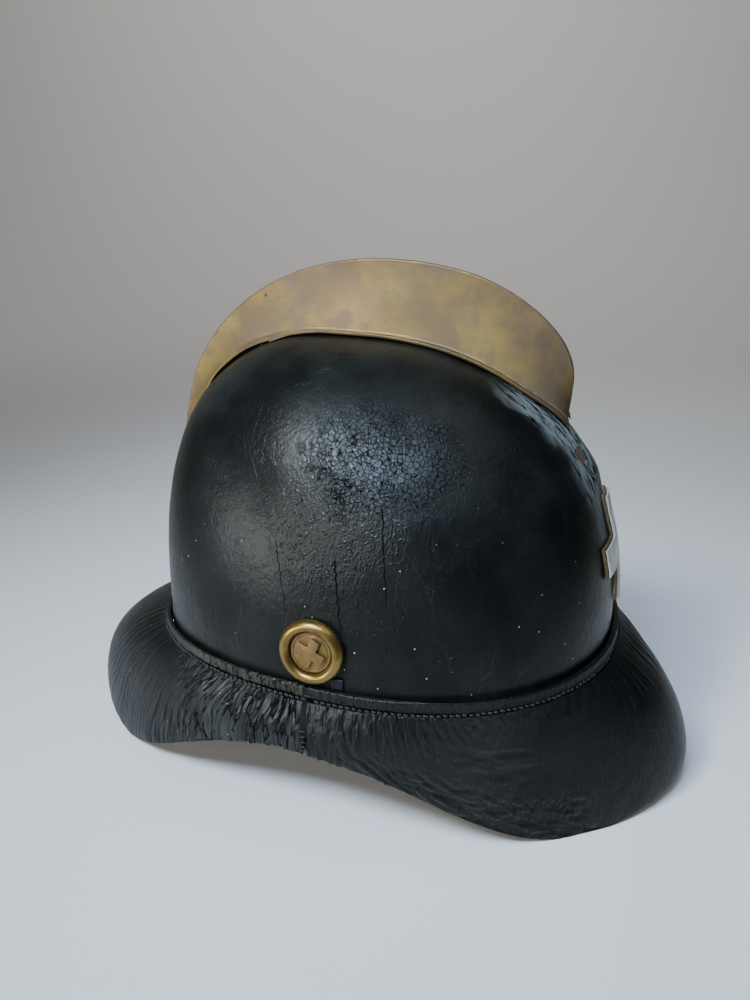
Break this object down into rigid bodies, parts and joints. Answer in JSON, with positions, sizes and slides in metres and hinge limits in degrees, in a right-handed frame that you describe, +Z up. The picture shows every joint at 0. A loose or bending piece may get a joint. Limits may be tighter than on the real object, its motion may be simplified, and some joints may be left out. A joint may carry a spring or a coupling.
{
  "type": "firefighter helmet",
  "caption": "Traditional leather fire helmet with a deep peak and neck guard, a crescent brass comb, side rosettes, a cross badge, a tongued liner and a swinging chinstrap.",
  "frame": {"origin": "centre of the helmet's plan, on the surface it stands on", "axes": "+Z up; the wearer faces -Y, so +Y runs from the peak to the neck guard; +X to the wearer's left"},
  "size_m": [0.214, 0.3354, 0.2489],
  "materials": {
    "black_leather": "aged semi-gloss, cracked",
    "lining_leather": "matte",
    "comb_brass": "dull, tarnished",
    "rosette_brass": "worn polish",
    "badge_metal": "satin, light grey white metal",
    "fixing_steel": "dull",
    "liner_leather": "soft, worn",
    "linen": "twisted cord",
    "strap_leather": "satin"
  },
  "bodies": {
    "helmet": {"crown_shell": "black_leather", "front_peak": "black_leather", "neck_guard": "black_leather", "front_peak_lining": "lining_leather", "neck_guard_lining": "lining_leather", "comb_right_half": "comb_brass", "comb_left_half": "comb_brass", "comb_bracket_front": "comb_brass", "comb_screw_front": "fixing_steel", "comb_washer_front": "fixing_steel", "comb_nut_front": "fixing_steel", "comb_bracket_middle": "comb_brass", "comb_screw_middle": "fixing_steel", "comb_washer_middle": "fixing_steel", "comb_nut_middle": "fixing_steel", "comb_bracket_rear": "comb_brass", "comb_screw_rear": "fixing_steel", "comb_washer_rear": "fixing_steel", "comb_nut_rear": "fixing_steel", "badge_tray": "comb_brass", "badge_face": "badge_metal", "badge_stud_upper": "comb_brass", "badge_stud_lower": "comb_brass", "badge_nut_upper": "fixing_steel", "badge_nut_lower": "fixing_steel", "rosette_right_washer": "fixing_steel", "rosette_left_washer": "fixing_steel", "sweatband": "liner_leather", "liner_tongue_1": "liner_leather", "liner_tongue_2": "liner_leather", "liner_tongue_3": "liner_leather", "liner_tongue_4": "liner_leather", "liner_tongue_5": "liner_leather", "liner_tongue_6": "liner_leather", "liner_tongue_7": "liner_leather", "liner_tongue_8": "liner_leather", "liner_drawstring": "linen"},
    "chinstrap": {"chinstrap_right": "strap_leather", "chinstrap_left": "strap_leather", "chinstrap_ring": "comb_brass"},
    "rosette_right": {"rosette_right_cup": "rosette_brass", "rosette_right_medallion": "rosette_brass", "rosette_right_stud": "comb_brass", "rosette_right_nut": "fixing_steel"},
    "rosette_left": {"rosette_left_cup": "rosette_brass", "rosette_left_medallion": "rosette_brass", "rosette_left_stud": "comb_brass", "rosette_left_nut": "fixing_steel"}
  },
  "joints": [
    {"name": "chinstrap_swing", "type": "hinge", "parent": "helmet", "child": "chinstrap", "pos_m": [0, -0.00124, 0.09605], "axis": [1, 0, 0], "range_deg": [-38, 38]},
    {"name": "rosette_right_turn", "type": "hinge", "parent": "helmet", "child": "rosette_right", "pos_m": [-0.09513, -0.00118, 0.0969], "axis": [-0.9937, 0.0085, 0.1119], "continuous": true},
    {"name": "rosette_left_turn", "type": "hinge", "parent": "helmet", "child": "rosette_left", "pos_m": [0.09513, -0.00118, 0.0969], "axis": [0.9937, 0.0085, 0.1119], "continuous": true}
  ]
}
